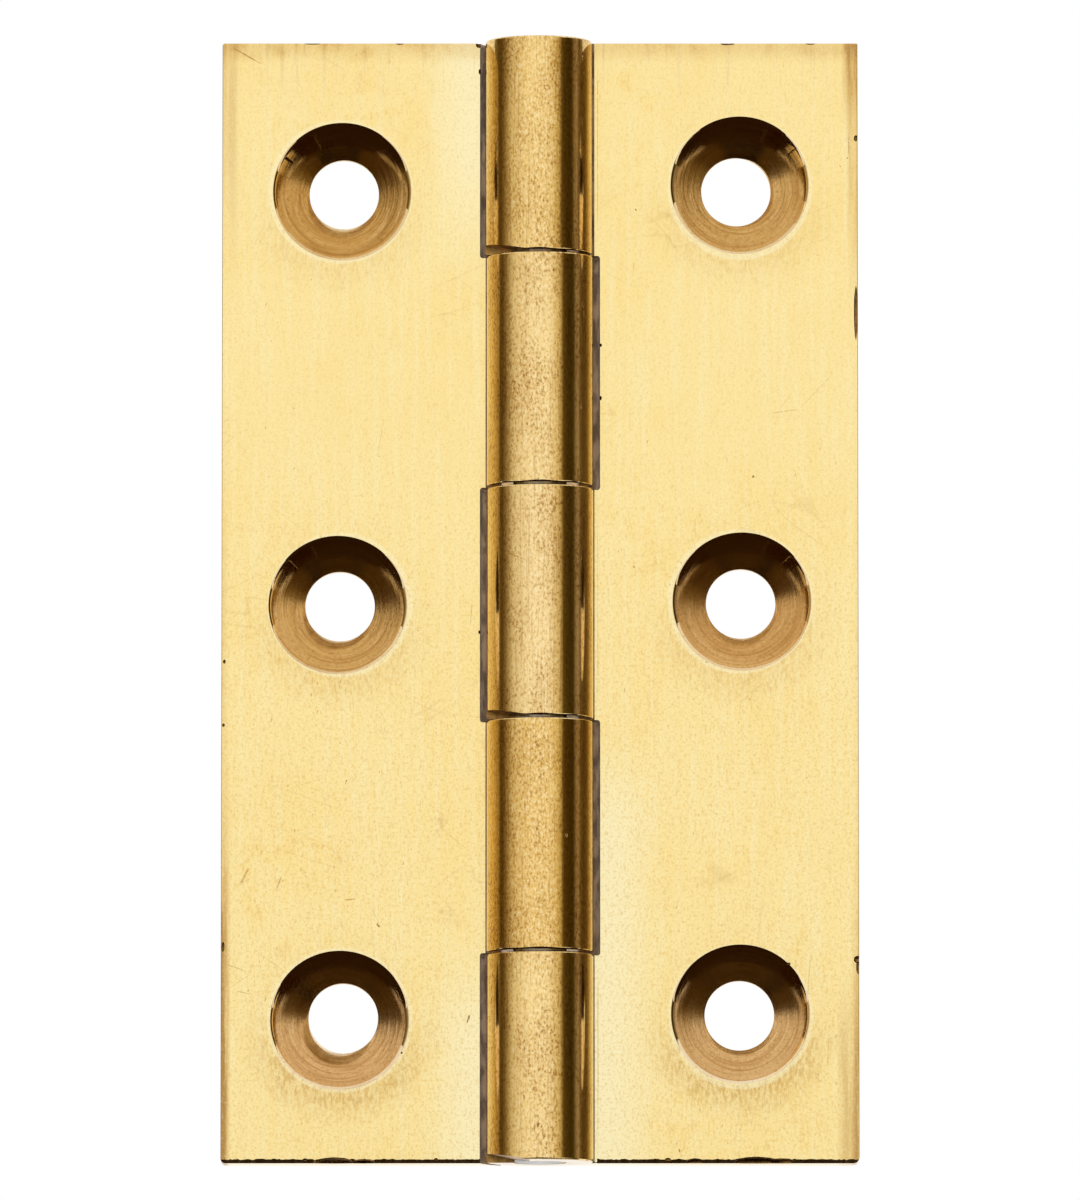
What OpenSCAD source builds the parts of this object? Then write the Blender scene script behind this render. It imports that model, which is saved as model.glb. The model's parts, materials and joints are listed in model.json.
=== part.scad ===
// Solid drawn butt hinge, opened flat.
// +Z runs up the pin, +X to the leaf that is fixed to the frame, and -Y out of the two faces
// that meet when the hinge is shut. The origin is on the pin's axis, halfway up.

/* [Leaves] */
// Length of the hinge along its pin
leaf_h = 76; // [50:1:150]
// Distance from the pin's axis to the outer edge of a leaf
leaf_w = 21.5; // [18:0.5:50]
// Thickness of a leaf
leaf_t = 2.6; // [2.4:0.1:2.9]
// Gap between the two faces when the hinge is shut
shut_gap = 1.1; // [0.4:0.1:1.4]
// Radius that the drawing die leaves on the long outer edges
die_r = 0.2; // [0.1:0.05:0.5]
// Radius of the outer corners, seen from the front
corner_r = 0.35; // [0.2:0.05:3]
// Radius in the corner between a leaf's back and its knuckles
root_r = 0.6; // [0.3:0.1:1]

/* [Barrel] */
// Diameter of the knuckles
barrel_d = 7.2; // [5.8:0.1:8.4]
// Number of knuckles, shared between the two leaves
knuckles = 5; // [3:2:7]
// Length of the top knuckle
top_knuckle = 14.6; // [8:0.1:16]
// Length of the bottom knuckle
bottom_knuckle = 14.1; // [8:0.1:16]
// End play between two knuckles
end_play = 0.16; // [0.1:0.02:0.4]
// Room between a knuckle and the slot that it turns in
slot_room = 0.5; // [0.2:0.05:0.8]
// Bevel round the end of a knuckle
knuckle_bevel = 0.12; // [0.05:0.01:0.3]
// Height of the flat filed on the free side of a knuckle's lower end
relief_h = 0.55; // [0.2:0.05:1]
// Distance from the pin's axis to where that flat begins
relief_start = 0.7; // [0:0.1:1.5]

/* [Pin] */
// Diameter of the pin
pin_d = 3.6; // [3:0.1:4.4]
// Bevel on the ends of the pin
pin_bevel = 0.25; // [0.1:0.05:0.6]
// Radial room between the pin and the knuckles that turn on it
pin_room = 0.05; // [0.02:0.01:0.1]
// Radial grip of the knuckles that the pin is driven into
pin_grip = 0.01; // [0.005:0.005:0.02]

/* [Screw holes] */
// Number of screw holes in a leaf
screws = 3; // [2:1:4]
// Diameter of a screw hole
hole_d = 4.7; // [3.5:0.1:5.5]
// Diameter of the countersink at the face
sink_d = 9.3; // [7:0.1:9.6]
// Angle across the countersink
sink_angle = 90; // [86:1:100]
// Distance from a leaf's outer edge to the middle of its screw holes
hole_edge = 8; // [6:0.1:9]
// Distance from a leaf's end to the middle of its first screw hole
hole_end = 9.9; // [7:0.1:12]
// How far the holes of the door's leaf sit below those of the frame's leaf
door_holes_drop = 0.25; // [0:0.05:0.5]

/* [Hidden] */
$fn = 96;

brass = [0.93, 0.81, 0.52];
steel = [0.62, 0.61, 0.58];

// How far a cut runs past the surface that it opens, and a fillet's toe into the barrel
over = 1;
toe = 0.1;
// Straight steps in the curve of a small edge radius
steps = 8;

barrel_r = barrel_d / 2;
pin_r = pin_d / 2;
face_y = shut_gap / 2;
back_y = face_y + leaf_t;
slot_r = barrel_r + slot_room;
mid_knuckle = (leaf_h - top_knuckle - bottom_knuckle) / (knuckles - 2);
hole_x = leaf_w - hole_edge;
hole_pitch = (leaf_h - 2 * hole_end) / (screws - 1);
sink_flare = tan(sink_angle / 2);
sink_depth = (sink_d - hole_d) / 2 / sink_flare;

// Height of the boundary above knuckle k, counted from 0 at the top
function joint_z(k) =
    k == 0 ? leaf_h / 2
    : k == knuckles ? -leaf_h / 2
    : leaf_h / 2 - top_knuckle - (k - 1) * mid_knuckle;

// Ends of knuckle k, which gives half the end play at each joint but none at the hinge's ends
function knuckle_top(k) = joint_z(k) - (k == 0 ? 0 : end_play / 2);
function knuckle_foot(k) = joint_z(k + 1) + (k == knuckles - 1 ? 0 : end_play / 2);

// Ends of the slot that knuckle k turns in, open at the hinge's own ends
function slot_top(k) = joint_z(k) + (k == 0 ? over : end_play / 2);
function slot_foot(k) = joint_z(k + 1) - (k == knuckles - 1 ? over : end_play / 2);

// Points along a circular arc
function arc(centre, r, from, to) =
    [for (i = [0:steps])
        let (a = from + (to - from) * i / steps)
        centre + r * [cos(a), sin(a)]];

// The curve in the corner behind a knuckle, from the leaf's back into the barrel. Where the
// barrel doesn't stand proud of the back there is no corner, and the back runs on.
function root_curve() =
    barrel_r <= back_y ? [[0, back_y]]
    : let (
        x = sqrt(pow(barrel_r + root_r, 2) - pow(back_y + root_r, 2)),
        centre = [x, back_y + root_r],
        away = atan2(back_y + root_r, x)
    )
    concat(
        arc(centre, root_r, 270, 180 + away),
        [(barrel_r - toe) * [cos(away), sin(away)]]
    );

// Section of the drawn bar, without its barrel
module bar_section() {
    polygon(concat(
        [[0, face_y]],
        arc([leaf_w - die_r, face_y + die_r], die_r, -90, 0),
        arc([leaf_w - die_r, back_y - die_r], die_r, 0, 90),
        root_curve()
    ));
}

// Outline of a leaf from the front, with its outer corners eased
module leaf_outline() {
    high = leaf_h / 2;
    polygon(concat(
        [[-over, -high]],
        arc([leaf_w - corner_r, corner_r - high], corner_r, -90, 0),
        arc([leaf_w - corner_r, high - corner_r], corner_r, 0, 90),
        [[-over, high]]
    ));
}

// The flat of a leaf, with the slots that the other leaf's knuckles turn in
module plate(first) {
    difference() {
        intersection() {
            linear_extrude(leaf_h, center = true) bar_section();
            rotate([90, 0, 0])
                linear_extrude(2 * (barrel_d + root_r), center = true) leaf_outline();
        }
        for (k = [1 - first:2:knuckles - 1])
            translate([0, 0, slot_foot(k)])
                cylinder(h = slot_top(k) - slot_foot(k), r = slot_r);
    }
}

// One knuckle, with bevelled ends
module knuckle(k) {
    foot = knuckle_foot(k);
    top = knuckle_top(k);
    rotate_extrude()
        polygon([
            [0, foot],
            [barrel_r - knuckle_bevel, foot],
            [barrel_r, foot + knuckle_bevel],
            [barrel_r, top - knuckle_bevel],
            [barrel_r - knuckle_bevel, top],
            [0, top]
        ]);
}

// The flat filed on the free side of a knuckle's lower end, in front of the pin, as a cut
module knuckle_relief(k) {
    foot = knuckle_foot(k);
    reach = barrel_r + over;
    rise = relief_h * (reach - relief_start) / (barrel_r - relief_start);
    rotate([90, 0, 0])
        linear_extrude(reach)
            polygon([
                [-relief_start, foot],
                [-reach, foot + rise],
                [-reach, foot - over],
                [-relief_start, foot - over]
            ]);
}

// A countersunk screw hole through a leaf, as a cut, with its mouth at the origin facing -Y
module screw_hole() {
    rotate([-90, 0, 0]) {
        cylinder(h = leaf_t + over, d = hole_d);
        translate([0, 0, -over])
            cylinder(
                h = sink_depth + over,
                r1 = sink_d / 2 + over * sink_flare,
                r2 = hole_d / 2
            );
    }
}

// A leaf that lies to +X. Its own knuckles start at number first, and drop lowers its holes.
module leaf(first, bore_r, drop) {
    difference() {
        union() {
            plate(first);
            for (k = [first:2:knuckles - 1]) knuckle(k);
        }
        translate([0, 0, -leaf_h / 2 - over]) cylinder(h = leaf_h + 2 * over, r = bore_r);
        for (i = [0:screws - 1])
            translate([hole_x, face_y, leaf_h / 2 - hole_end - i * hole_pitch - drop])
                screw_hole();
        if (first == 0)
            for (k = [first:2:knuckles - 1]) knuckle_relief(k);
    }
}

// The leaf with the end knuckles, which grip the pin
module frame_leaf() {
    color(brass) leaf(0, pin_r - pin_grip, 0);
}

// The leaf whose knuckles turn on the pin
module door_leaf() {
    color(brass) mirror([1, 0, 0]) leaf(1, pin_r + pin_room, door_holes_drop);
}

// The pin, cut flush with the ends of the barrel
module hinge_pin() {
    color(steel)
        rotate_extrude()
            polygon([
                [0, -leaf_h / 2],
                [pin_r - pin_bevel, -leaf_h / 2],
                [pin_r, pin_bevel - leaf_h / 2],
                [pin_r, leaf_h / 2 - pin_bevel],
                [pin_r - pin_bevel, leaf_h / 2],
                [0, leaf_h / 2]
            ]);
}

frame_leaf();
door_leaf();
hinge_pin();
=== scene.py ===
"""A solid drawn brass butt hinge, opened flat: two leaves, five knuckles and the pin."""
import contextlib
import json
import math

import bmesh
import bpy
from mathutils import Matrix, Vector


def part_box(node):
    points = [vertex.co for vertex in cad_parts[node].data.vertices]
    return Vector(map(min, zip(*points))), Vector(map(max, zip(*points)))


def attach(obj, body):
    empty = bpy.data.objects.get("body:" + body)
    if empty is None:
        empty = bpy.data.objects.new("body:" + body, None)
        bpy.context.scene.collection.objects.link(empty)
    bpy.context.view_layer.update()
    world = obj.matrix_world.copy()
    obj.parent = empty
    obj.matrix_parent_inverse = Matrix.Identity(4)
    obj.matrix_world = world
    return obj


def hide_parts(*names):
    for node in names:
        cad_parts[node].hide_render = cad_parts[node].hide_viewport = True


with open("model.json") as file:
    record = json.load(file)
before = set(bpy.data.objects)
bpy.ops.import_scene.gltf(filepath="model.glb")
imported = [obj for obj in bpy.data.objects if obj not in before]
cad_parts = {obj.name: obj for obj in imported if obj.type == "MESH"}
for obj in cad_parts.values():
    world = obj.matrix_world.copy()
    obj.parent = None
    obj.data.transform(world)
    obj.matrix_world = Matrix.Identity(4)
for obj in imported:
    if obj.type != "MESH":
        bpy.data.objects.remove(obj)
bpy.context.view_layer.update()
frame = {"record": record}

MM = 0.001
# How far a cutter runs past the surface that it opens
OVER = 1 * MM

# Sizes that the frame gives
LEAF_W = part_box("frame_leaf")[1].x
HALF_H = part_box("frame_leaf")[1].z
BARREL_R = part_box("frame_leaf")[1].y
PIN_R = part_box("hinge_pin")[1].x
MOUNTS = {mount["name"]: mount for mount in frame["record"]["mounts"]}
BACK_Y = MOUNTS["frame_screws"]["pos_m"][1]
HOLE_R = MOUNTS["frame_screws"]["dims"]["hole_r_mm"] * MM
HOLE_PITCH = MOUNTS["frame_screws"]["dims"]["spacing_y_mm"] * MM / 2

# Sizes of the drawn and machined brass
FACE_Y = 0.55 * MM
SLOT_R = BARREL_R + 0.5 * MM
TOP_KNUCKLE = 14.6 * MM
BOTTOM_KNUCKLE = 14.1 * MM
KNUCKLES = 5
END_PLAY = 0.16 * MM
KNUCKLE_BEVEL = 0.14 * MM
SLOT_CORNER = 0.18 * MM
ROOT_R = 0.6 * MM
EDGE_R = 0.08 * MM
END_STEP = 0.015 * MM
RELIEF_H = 0.55 * MM
RELIEF_START = 0.7 * MM
PIN_GRIP = 0.01 * MM
PIN_ROOM = 0.05 * MM
PIN_BEVEL = 0.25 * MM
SINK_R = 4.65 * MM
SINK_HALF_ANGLE = 45.7
# How far a countersink's cutter narrows past the hole that it opens
SINK_PAST = 0.28 * MM
# The knuckles at the top were drilled a hair to the left of the others
TOP_KNUCKLE_SHIFT = -0.09 * MM
# Width of the rough chamfer along the foot, and how far its cutter stands out of the brass
TORN_H = 0.26 * MM
TORN_OUT = 0.3 * MM
# Straight sides round a turned surface
ROUND = 128

# How far each countersink and each bore wandered off its mark, across and up, from the top down
FRAME_SINKS = [(0.01, 0.2), (0.13, -0.02), (0, 0.17)]
FRAME_BORES = [(-0.22, 0), (0.07, 0.04), (-0.05, 0.22)]
DOOR_SINKS = [(0.12, 0.01), (-0.15, 0), (0.01, 0)]
DOOR_BORES = [(0.23, 0.07), (-0.02, 0.11), (0.23, 0.28)]

# Radii of the outer corners of each leaf, at the foot and at the top
FRAME_CORNERS = (0.42 * MM, 0.1 * MM)
DOOR_CORNERS = (0.32 * MM, 0.16 * MM)

# Dents and bites in the edges: across, up, then half their width, depth and height, in mm
FRAME_DENTS = [
    (21.4, -24.25, 0.28, 0.3, 0.26),
    (21.45, -24.75, 0.16, 0.2, 0.5),
    (16.72, -24.55, 0.16, 0.12, 0.1),
    (21.36, 19.6, 0.14, 0.1, 1.9),
    (21.38, 31.5, 0.15, 0.1, 0.22),
    (14.6, -37.95, 1.7, 0.5, 0.42),
    (16.2, -37.95, 1.1, 0.45, 0.3),
    (8.6, -37.75, 0.22, 0.1, 0.12),
    (10.4, -37.95, 0.7, 0.3, 0.3),
    (4.1, 17.4, 0.09, 0.2, 0.12),
    (4.1, 13.8, 0.08, 0.2, 0.15),
    (12.7, 37.95, 0.5, 0.12, 0.1),
    (18.3, 37.97, 0.35, 0.1, 0.09),
]
DOOR_DENTS = [
    (-4.06, 36.05, 0.1, 0.3, 0.2),
    (-4.1, 37.9, 0.26, 0.4, 0.24),
    (-13.9, -38, 1.5, 0.5, 0.42),
    (-11.9, -38, 1.0, 0.4, 0.3),
    (-15.8, -37.78, 0.2, 0.1, 0.12),
    (-7, -37.74, 0.14, 0.1, 0.1),
    (-21.35, -8.4, 0.1, 0.1, 0.12),
    (-21.3, -4.1, 0.1, 0.1, 0.14),
    (-21.35, -23.4, 0.1, 0.1, 0.35),
    (-9.31, -30.55, 0.07, 0.08, 0.07),
    (-4.1, -2.1, 0.07, 0.2, 0.12),
    (-15.4, 37.97, 0.6, 0.1, 0.08),
    (-9.5, 37.97, 0.3, 0.1, 0.09),
]


# Modelling

def pick(piece):
    """Selects one object and nothing else."""
    bpy.ops.object.select_all(action="DESELECT")
    piece.select_set(True)
    bpy.context.view_layer.objects.active = piece


@contextlib.contextmanager
def editing(piece):
    """Opens a piece in edit mode with nothing selected, and hands over its mesh."""
    pick(piece)
    bpy.ops.object.mode_set(mode="EDIT")
    bpy.ops.mesh.select_mode(type="EDGE")
    bpy.ops.mesh.select_all(action="DESELECT")
    yield bmesh.from_edit_mesh(piece.data)
    bpy.ops.object.mode_set(mode="OBJECT")


def select_edges(mesh, wanted):
    """Selects the edges whose two ends satisfy wanted."""
    for edge in mesh.edges:
        edge.select_set(all(wanted(vertex.co) for vertex in edge.verts))


def named(name):
    """The object just added, named, with its place, turn and size moved into its mesh."""
    piece = bpy.context.object
    piece.name = name
    bpy.ops.object.transform_apply(location=True, rotation=True, scale=True)
    return piece


def mirrored(side, low, high):
    """Two corners of a box on the right, as they are or moved to the left."""
    if side > 0:
        return low, high
    return (-high[0], *low[1:]), (-low[0], *high[1:])


def block(name, low, high):
    """A rectangular block between two corners."""
    low, high = Vector(low), Vector(high)
    bpy.ops.object.select_all(action="DESELECT")
    bpy.ops.mesh.primitive_cube_add(size=1, location=(low + high) / 2, scale=high - low)
    return named(name)


def rod(name, radius, foot, top, x=0, rim=0, rim_steps=1):
    """A round bar along the pin's axis, with its rims bevelled."""
    bpy.ops.object.select_all(action="DESELECT")
    bpy.ops.mesh.primitive_cylinder_add(
        vertices=ROUND, radius=radius, depth=top - foot, location=(x, 0, (top + foot) / 2)
    )
    piece = named(name)
    if rim:
        with editing(piece) as mesh:
            for edge in mesh.edges:
                ends = [vertex.co.z for vertex in edge.verts]
                edge.select_set(abs(ends[0] - ends[1]) < 1e-7)
            bpy.ops.mesh.bevel(offset=rim, segments=rim_steps, affect="EDGES")
    return piece


def join_or_cut(piece, tools, operation, overlaps):
    """Unites a piece with its tools or cuts them out of it at once, and throws them away."""
    bpy.ops.object.select_all(action="DESELECT")
    for tool in tools:
        tool.select_set(True)
    bpy.context.view_layer.objects.active = tools[0]
    if len(tools) > 1:
        bpy.ops.object.join()
    pick(piece)
    step = piece.modifiers.new(operation.lower(), "BOOLEAN")
    step.operation = operation
    step.solver = "EXACT"
    step.use_self = overlaps
    step.material_mode = "TRANSFER"
    step.object = tools[0]
    bpy.ops.object.modifier_apply(modifier=step.name)
    bpy.data.objects.remove(tools[0])


def fuse(piece, tools):
    join_or_cut(piece, tools, "UNION", False)


def cut(piece, tools, overlaps=False):
    join_or_cut(piece, tools, "DIFFERENCE", overlaps)


def joint_z(k):
    """Height of the boundary above knuckle k, counted from 0 at the top."""
    if k in (0, KNUCKLES):
        return HALF_H if k == 0 else -HALF_H
    middle = (2 * HALF_H - TOP_KNUCKLE - BOTTOM_KNUCKLE) / (KNUCKLES - 2)
    return HALF_H - TOP_KNUCKLE - (k - 1) * middle


def knuckle_ends(k):
    foot = joint_z(k + 1) + (0 if k == KNUCKLES - 1 else END_PLAY / 2)
    top = joint_z(k) - (0 if k == 0 else END_PLAY / 2)
    return foot, top


def slot_ends(k):
    foot = joint_z(k + 1) - (OVER if k == KNUCKLES - 1 else END_PLAY / 2)
    top = joint_z(k) + (OVER if k == 0 else END_PLAY / 2)
    return foot, top


def worn(piece, finish):
    """Gives a piece, or a cutter and with it the walls that it leaves, one finish."""
    piece.data.materials.clear()
    piece.data.materials.append(finish)
    return piece


def plate(side, corner_radii, finish):
    """The flat of a leaf, a hair shorter than its barrel, with eased outer corners and edges."""
    half = HALF_H - END_STEP
    piece = block("leaf", *mirrored(side, (0, FACE_Y, -half), (LEAF_W, BACK_Y, half)))
    for height, radius in zip((-HALF_H, HALF_H), corner_radii):
        with editing(piece) as mesh:
            select_edges(mesh, lambda co: abs(co.x) > LEAF_W - MM / 9 and co.z * height > 0)
            bpy.ops.mesh.bevel(offset=radius, segments=6, affect="EDGES")
    with editing(piece) as mesh:
        for edge in mesh.edges:
            off_axis = any(abs(vertex.co.x) > 1e-6 for vertex in edge.verts)
            along_y = abs(edge.verts[0].co.y - edge.verts[1].co.y) > MM / 9
            edge.select_set(off_axis and not along_y)
        bpy.ops.mesh.bevel(offset=EDGE_R, segments=3, affect="EDGES")
    return worn(piece, finish)


def root_fillet(side, k, finish):
    """The drawn radius between the back of a leaf and its knuckle."""
    foot, top = knuckle_ends(k)
    foot, top = foot + KNUCKLE_BEVEL, top - KNUCKLE_BEVEL
    x = math.sqrt((BARREL_R + ROOT_R) ** 2 - (BACK_Y + ROOT_R) ** 2)
    low = (x - 0.5 * MM, BACK_Y - MM / 4, foot)
    fillet = block("root_fillet", *mirrored(side, low, (x, BACK_Y + 0.15 * MM, top)))
    bpy.ops.object.select_all(action="DESELECT")
    bpy.ops.mesh.primitive_cylinder_add(
        vertices=ROUND, radius=ROOT_R, depth=top - foot + 2 * OVER,
        location=(side * x, BACK_Y + ROOT_R, (top + foot) / 2),
    )
    cut(fillet, [named("root_cutter")])
    return worn(fillet, finish)


def countersink_bit(x, z, finish):
    """A countersink's cutter with its tip towards +Y, ringed like a turned wall."""
    flare = math.tan(math.radians(SINK_HALF_ANGLE))
    lip = [(0.13 * MM, -0.03 * MM), (0.02 * MM, 0.01 * MM), (-0.035 * MM, 0.04 * MM)]
    profile = [(SINK_R + across, depth) for across, depth in lip]
    pitch, groove = 0.11 * MM, 0.0005 * MM
    rings = int((SINK_R - HOLE_R + SINK_PAST) / flare / pitch)
    for ring in range(1, rings + 1):
        depth = 0.05 * MM + ring * pitch
        swell = groove if ring % 2 else -groove
        profile.append((SINK_R - depth * flare + swell, depth))
    bpy.ops.object.select_all(action="DESELECT")
    bpy.ops.mesh.primitive_circle_add(
        vertices=ROUND, radius=profile[0][0], fill_type="NGON",
        location=(x, FACE_Y + profile[0][1], z), rotation=(math.radians(90), 0, 0),
    )
    bit = named("countersink_bit")
    with editing(bit):
        bpy.ops.mesh.select_all(action="SELECT")
        for (radius, depth), (old_radius, old_depth) in zip(profile[1:], profile):
            bpy.ops.mesh.extrude_region_move(
                TRANSFORM_OT_translate={"value": (0, depth - old_depth, 0)}
            )
            share = radius / old_radius
            middle = (x, FACE_Y + depth, z)
            bpy.ops.transform.resize(value=(share, 1, share), center_override=middle)
        bpy.ops.mesh.select_all(action="SELECT")
        bpy.ops.mesh.normals_make_consistent(inside=False)
    return worn(bit, finish)


def bore_bit(x, z, finish):
    """A screw hole's cutter along Y."""
    bpy.ops.object.select_all(action="DESELECT")
    bpy.ops.mesh.primitive_cylinder_add(
        vertices=ROUND, radius=HOLE_R, depth=BACK_Y - FACE_Y + OVER,
        location=(x, (BACK_Y + FACE_Y + OVER) / 2 + MM / 4, z),
        rotation=(math.radians(90), 0, 0),
    )
    return worn(named("bore_bit"), finish)


def relief_wedge(k, finish):
    """The cutter of the flat filed under the free side of knuckle k, in front of the pin."""
    foot = knuckle_ends(k)[0]
    reach = BARREL_R + OVER
    wedge = block("relief", (-reach, -reach, foot - OVER), (-RELIEF_START, 0, foot))
    with editing(wedge) as mesh:
        select_edges(mesh, lambda co: co.x < -reach / 2 and co.z > foot - OVER / 2)
        rise = RELIEF_H * (reach - RELIEF_START) / (BARREL_R - RELIEF_START)
        bpy.ops.transform.translate(value=(0, 0, rise))
    return worn(wedge, finish)


def torn_foot(side, seed, finish):
    """The cutter of the rough edge along the foot of a leaf's face."""
    reach = TORN_H + TORN_OUT
    low = (BARREL_R + MM / 4, FACE_Y - TORN_OUT, -HALF_H - TORN_OUT)
    high = (LEAF_W + OVER, FACE_Y + reach, -HALF_H + reach)
    wedge = block("torn_foot", *mirrored(side, low, high))
    with editing(wedge) as mesh:
        for edge in mesh.edges:
            edge.select_set(abs(edge.verts[0].co.x - edge.verts[1].co.x) > MM)
        bpy.ops.mesh.subdivide(number_cuts=110)
    with editing(wedge) as mesh:
        select_edges(mesh, lambda co: co.y > FACE_Y and co.z > -HALF_H)
        bpy.ops.transform.translate(value=(0, 0, 0.02 * MM - reach - TORN_OUT))
    with editing(wedge) as mesh:
        select_edges(mesh, lambda co: co.y < FACE_Y and co.z > -HALF_H)
        bpy.ops.transform.vertex_random(offset=0.07 * MM, uniform=0, normal=0, seed=seed)
    with editing(wedge):
        bpy.ops.mesh.select_all(action="SELECT")
        bpy.ops.mesh.quads_convert_to_tris()
    return worn(wedge, finish)


def dent(place, seed, finish):
    """The cutter of one rough dent or bite in a leaf's edge."""
    across, up, *halves = place
    bpy.ops.object.select_all(action="DESELECT")
    bpy.ops.mesh.primitive_ico_sphere_add(subdivisions=2, radius=MM)
    bpy.context.object.scale = halves
    bpy.context.object.location = (across * MM, FACE_Y, up * MM)
    lump = named("dent")
    with editing(lump):
        bpy.ops.mesh.select_all(action="SELECT")
        rough = 0.1 * min(halves) * MM
        bpy.ops.transform.vertex_random(offset=rough, uniform=0, normal=0, seed=seed)
    return worn(lump, finish)


def drill_and_sink(leaf, screws, sinks, bores, finishes):
    """The three countersunk screw holes of a leaf, each a little off its mark."""
    middle = Vector(MOUNTS[screws]["pos_m"])
    countersinks, holes = [], []
    for row, sink_off, bore_off, finish in zip((1, 0, -1), sinks, bores, finishes["sinks"]):
        z = middle.z + row * HOLE_PITCH
        across, up = sink_off
        countersinks.append(countersink_bit(middle.x + across * MM, z + up * MM, finish))
        across, up = bore_off
        holes.append(bore_bit(middle.x + across * MM, z + up * MM, finishes["bore"]))
    cut(leaf, countersinks)
    cut(leaf, holes)


def crease(side, k, finish):
    """The cutter of the planer's line where knuckle k rises from its own leaf's face, whose walls
    take a dark finish as painted shade in the crease.
    """
    foot, top = knuckle_ends(k)
    low = (BARREL_R - 0.12 * MM, FACE_Y - OVER / 4, foot - OVER / 4)
    high = (BARREL_R + 0.08 * MM, FACE_Y + 0.16 * MM, top + OVER / 4)
    return worn(block("crease", *mirrored(side, low, high)), finish)


def slot(k, finish):
    """The cutter of the slot that knuckle k turns in."""
    bar = rod("slot", SLOT_R, *slot_ends(k), rim=SLOT_CORNER, rim_steps=3)
    return worn(bar, finish)


def knuckle(k, finish):
    shift = TOP_KNUCKLE_SHIFT if k == 0 else 0
    bar = rod("knuckle", BARREL_R, *knuckle_ends(k), shift, KNUCKLE_BEVEL, 2)
    return worn(bar, finish)


def make_leaf(name, side, first, corner_radii, screws, sinks, bores, bore_r, marks, finishes):
    """A leaf with its own knuckles, which start at number first, and the other leaf's slots."""
    own = range(first, KNUCKLES, 2)
    others = range(1 - first, KNUCKLES, 2)
    leaf = plate(side, corner_radii, finishes["face"])
    rough = [dent(mark, 10 * first + number, finishes["torn"]) for number, mark in enumerate(marks)]
    cut(leaf, [torn_foot(side, 3 + first, finishes["torn"]), *rough], overlaps=True)
    cut(leaf, [slot(k, finishes["slot"]) for k in others])
    fuse(leaf, [root_fillet(side, k, finishes["barrel"]) for k in own])
    fuse(leaf, [knuckle(k, finishes["barrel"]) for k in own])
    # The creases wear the slot walls' dark finish, a painted shade in the crease
    cut(leaf, [crease(side, k, finishes["slot"]) for k in own])
    if first == 0:
        cut(leaf, [relief_wedge(k, finishes["end"]) for k in own])
    cut(leaf, [worn(rod("pin_bore", bore_r, -HALF_H - OVER, HALF_H + OVER), finishes["bore"])])
    drill_and_sink(leaf, screws, sinks, bores, finishes)
    leaf.name = leaf.data.name = name
    return leaf


def smooth(piece):
    """Smooth shading inside each surface, with the flat faces kept flat."""
    pick(piece)
    bpy.ops.object.shade_smooth_by_angle(angle=math.radians(28))
    step = piece.modifiers.new("flat_faces", "WEIGHTED_NORMAL")
    step.keep_sharp = True
    bpy.ops.object.modifier_apply(modifier=step.name)


def make_pin(finish):
    """The pin, cut flush with the barrel, with eased ends."""
    pin = rod("hinge_pin_turned", PIN_R, -HALF_H, HALF_H, rim=PIN_BEVEL, rim_steps=3)
    return worn(pin, finish)


# Laying out materials

def seen(red, green, blue):
    """The colour that looks like this on a screen, with each part from 0 to 255."""
    levels = [level / 255 for level in (red, green, blue)]
    straight = [
        level / 12.92 if level < 0.04045 else ((level + 0.055) / 1.055) ** 2.4
        for level in levels
    ]
    return (*straight, 1)


class Sheet:
    """A node tree that is being laid out."""

    def __init__(self, tree):
        self.tree = tree

    def add(self, kind, inputs=None, **settings):
        node = self.tree.nodes.new(kind)
        for name, value in settings.items():
            setattr(node, name, value)
        for socket, value in (inputs or {}).items():
            self.feed(node.inputs[socket], value)
        return node

    def feed(self, socket, value):
        if isinstance(value, bpy.types.NodeSocket):
            self.tree.links.new(value, socket)
        else:
            socket.default_value = value

    def math(self, operation, one, other=0.0):
        node = self.add("ShaderNodeMath", {0: one, 1: other}, operation=operation)
        return node.outputs[0]

    def times(self, *values):
        result = values[0]
        for value in values[1:]:
            result = self.math("MULTIPLY", result, value)
        return result

    def plus(self, *values):
        result = values[0]
        for value in values[1:]:
            result = self.math("ADD", result, value)
        return result

    def minus(self, one, other):
        return self.math("SUBTRACT", one, other)

    def size_of(self, value):
        return self.math("ABSOLUTE", value)

    def fade(self, value, nothing, full):
        """Goes smoothly from 0 where value is nothing to 1 where it is full."""
        ends = {"Value": value, "From Min": nothing, "From Max": full}
        node = self.add("ShaderNodeMapRange", ends, interpolation_type="SMOOTHSTEP")
        return node.outputs["Result"]

    def spread(self, value, low, high):
        """Stretches 0 to 1 onto low to high."""
        ends = {"Value": value, "To Min": low, "To Max": high}
        return self.add("ShaderNodeMapRange", ends).outputs["Result"]

    def split(self, vector):
        return self.add("ShaderNodeSeparateXYZ", {0: vector}).outputs

    def vector(self, x=0.0, y=0.0, z=0.0):
        return self.add("ShaderNodeCombineXYZ", {"X": x, "Y": y, "Z": z}).outputs[0]

    def vector_math(self, operation, one, other):
        node = self.add("ShaderNodeVectorMath", {0: one, 1: other}, operation=operation)
        return node.outputs["Value" if operation == "DISTANCE" else "Vector"]

    def noise(self, place, detail=3.0, coarseness=0.55):
        settings = {"Vector": place, "Scale": 1.0, "Detail": detail, "Roughness": coarseness}
        return self.add("ShaderNodeTexNoise", settings).outputs["Fac"]

    def tint(self, tone, share, colour):
        """Lays a colour over a tone."""
        node = self.add("ShaderNodeMix", data_type="RGBA")
        self.feed(node.inputs[0], share)
        self.feed(node.inputs[6], tone)
        self.feed(node.inputs[7], colour)
        return node.outputs[2]

    def effect(self, name, **inputs):
        """Places one of the shared effects and gives its output."""
        node = self.add("ShaderNodeGroup", node_tree=bpy.data.node_groups[name])
        for socket, value in inputs.items():
            self.feed(node.inputs[socket], value)
        return node.outputs[0]


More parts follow.
